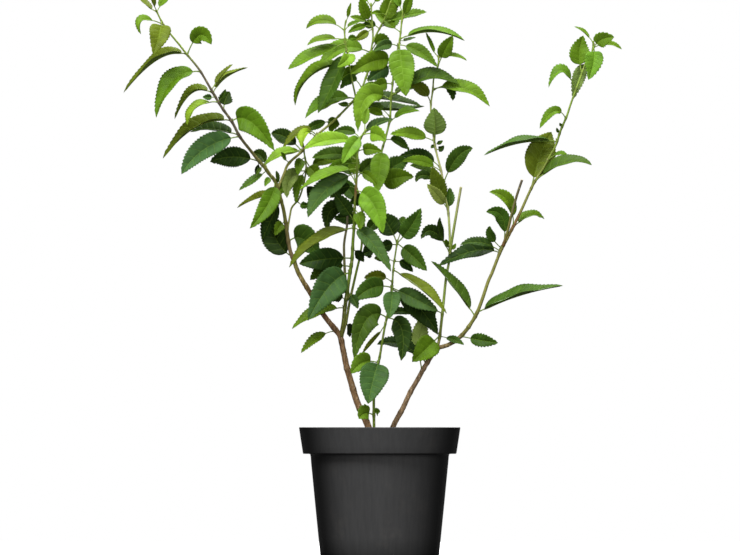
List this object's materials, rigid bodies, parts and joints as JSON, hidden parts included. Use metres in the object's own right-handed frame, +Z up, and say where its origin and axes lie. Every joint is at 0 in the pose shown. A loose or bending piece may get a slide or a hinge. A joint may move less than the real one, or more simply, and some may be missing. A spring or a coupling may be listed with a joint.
{
  "type": "potted forsythia",
  "caption": "Young forsythia shrub with arching shoots and serrated leaves, standing in soil in a plain round black nursery pot with a wide band under its rim.",
  "frame": {"origin": "centre of the pot's underside, which rests on the ground", "axes": "+Z up along the pot's axis; the pictured front faces -Y; +X to the right seen from the front"},
  "size_m": [0.587, 0.2131, 0.6725],
  "materials": {
    "pot": "satin black moulded plastic",
    "soil": "dark, rough, slightly damp potting compost",
    "bark": "rough brown bark with small pale warts",
    "foliage": "satin green leaves, paler underneath, on yellow-green young stems"
  },
  "bodies": {
    "root": {"pot": "pot", "soil": "soil", "left_trunk": "bark", "right_trunk": "bark", "arch_shoot": "foliage", "upper_left_shoot": "foliage", "central_shoot": "foliage", "upper_right_shoot": "foliage", "back_shoot": "foliage", "middle_shoot": "foliage", "right_inner_shoot": "foliage", "right_outer_shoot": "foliage", "fork_leaf": "foliage", "tall_wood_leaf": "foliage", "low_wood_leaf": "foliage", "outer_wood_leaf": "foliage"}
  },
  "joints": []
}
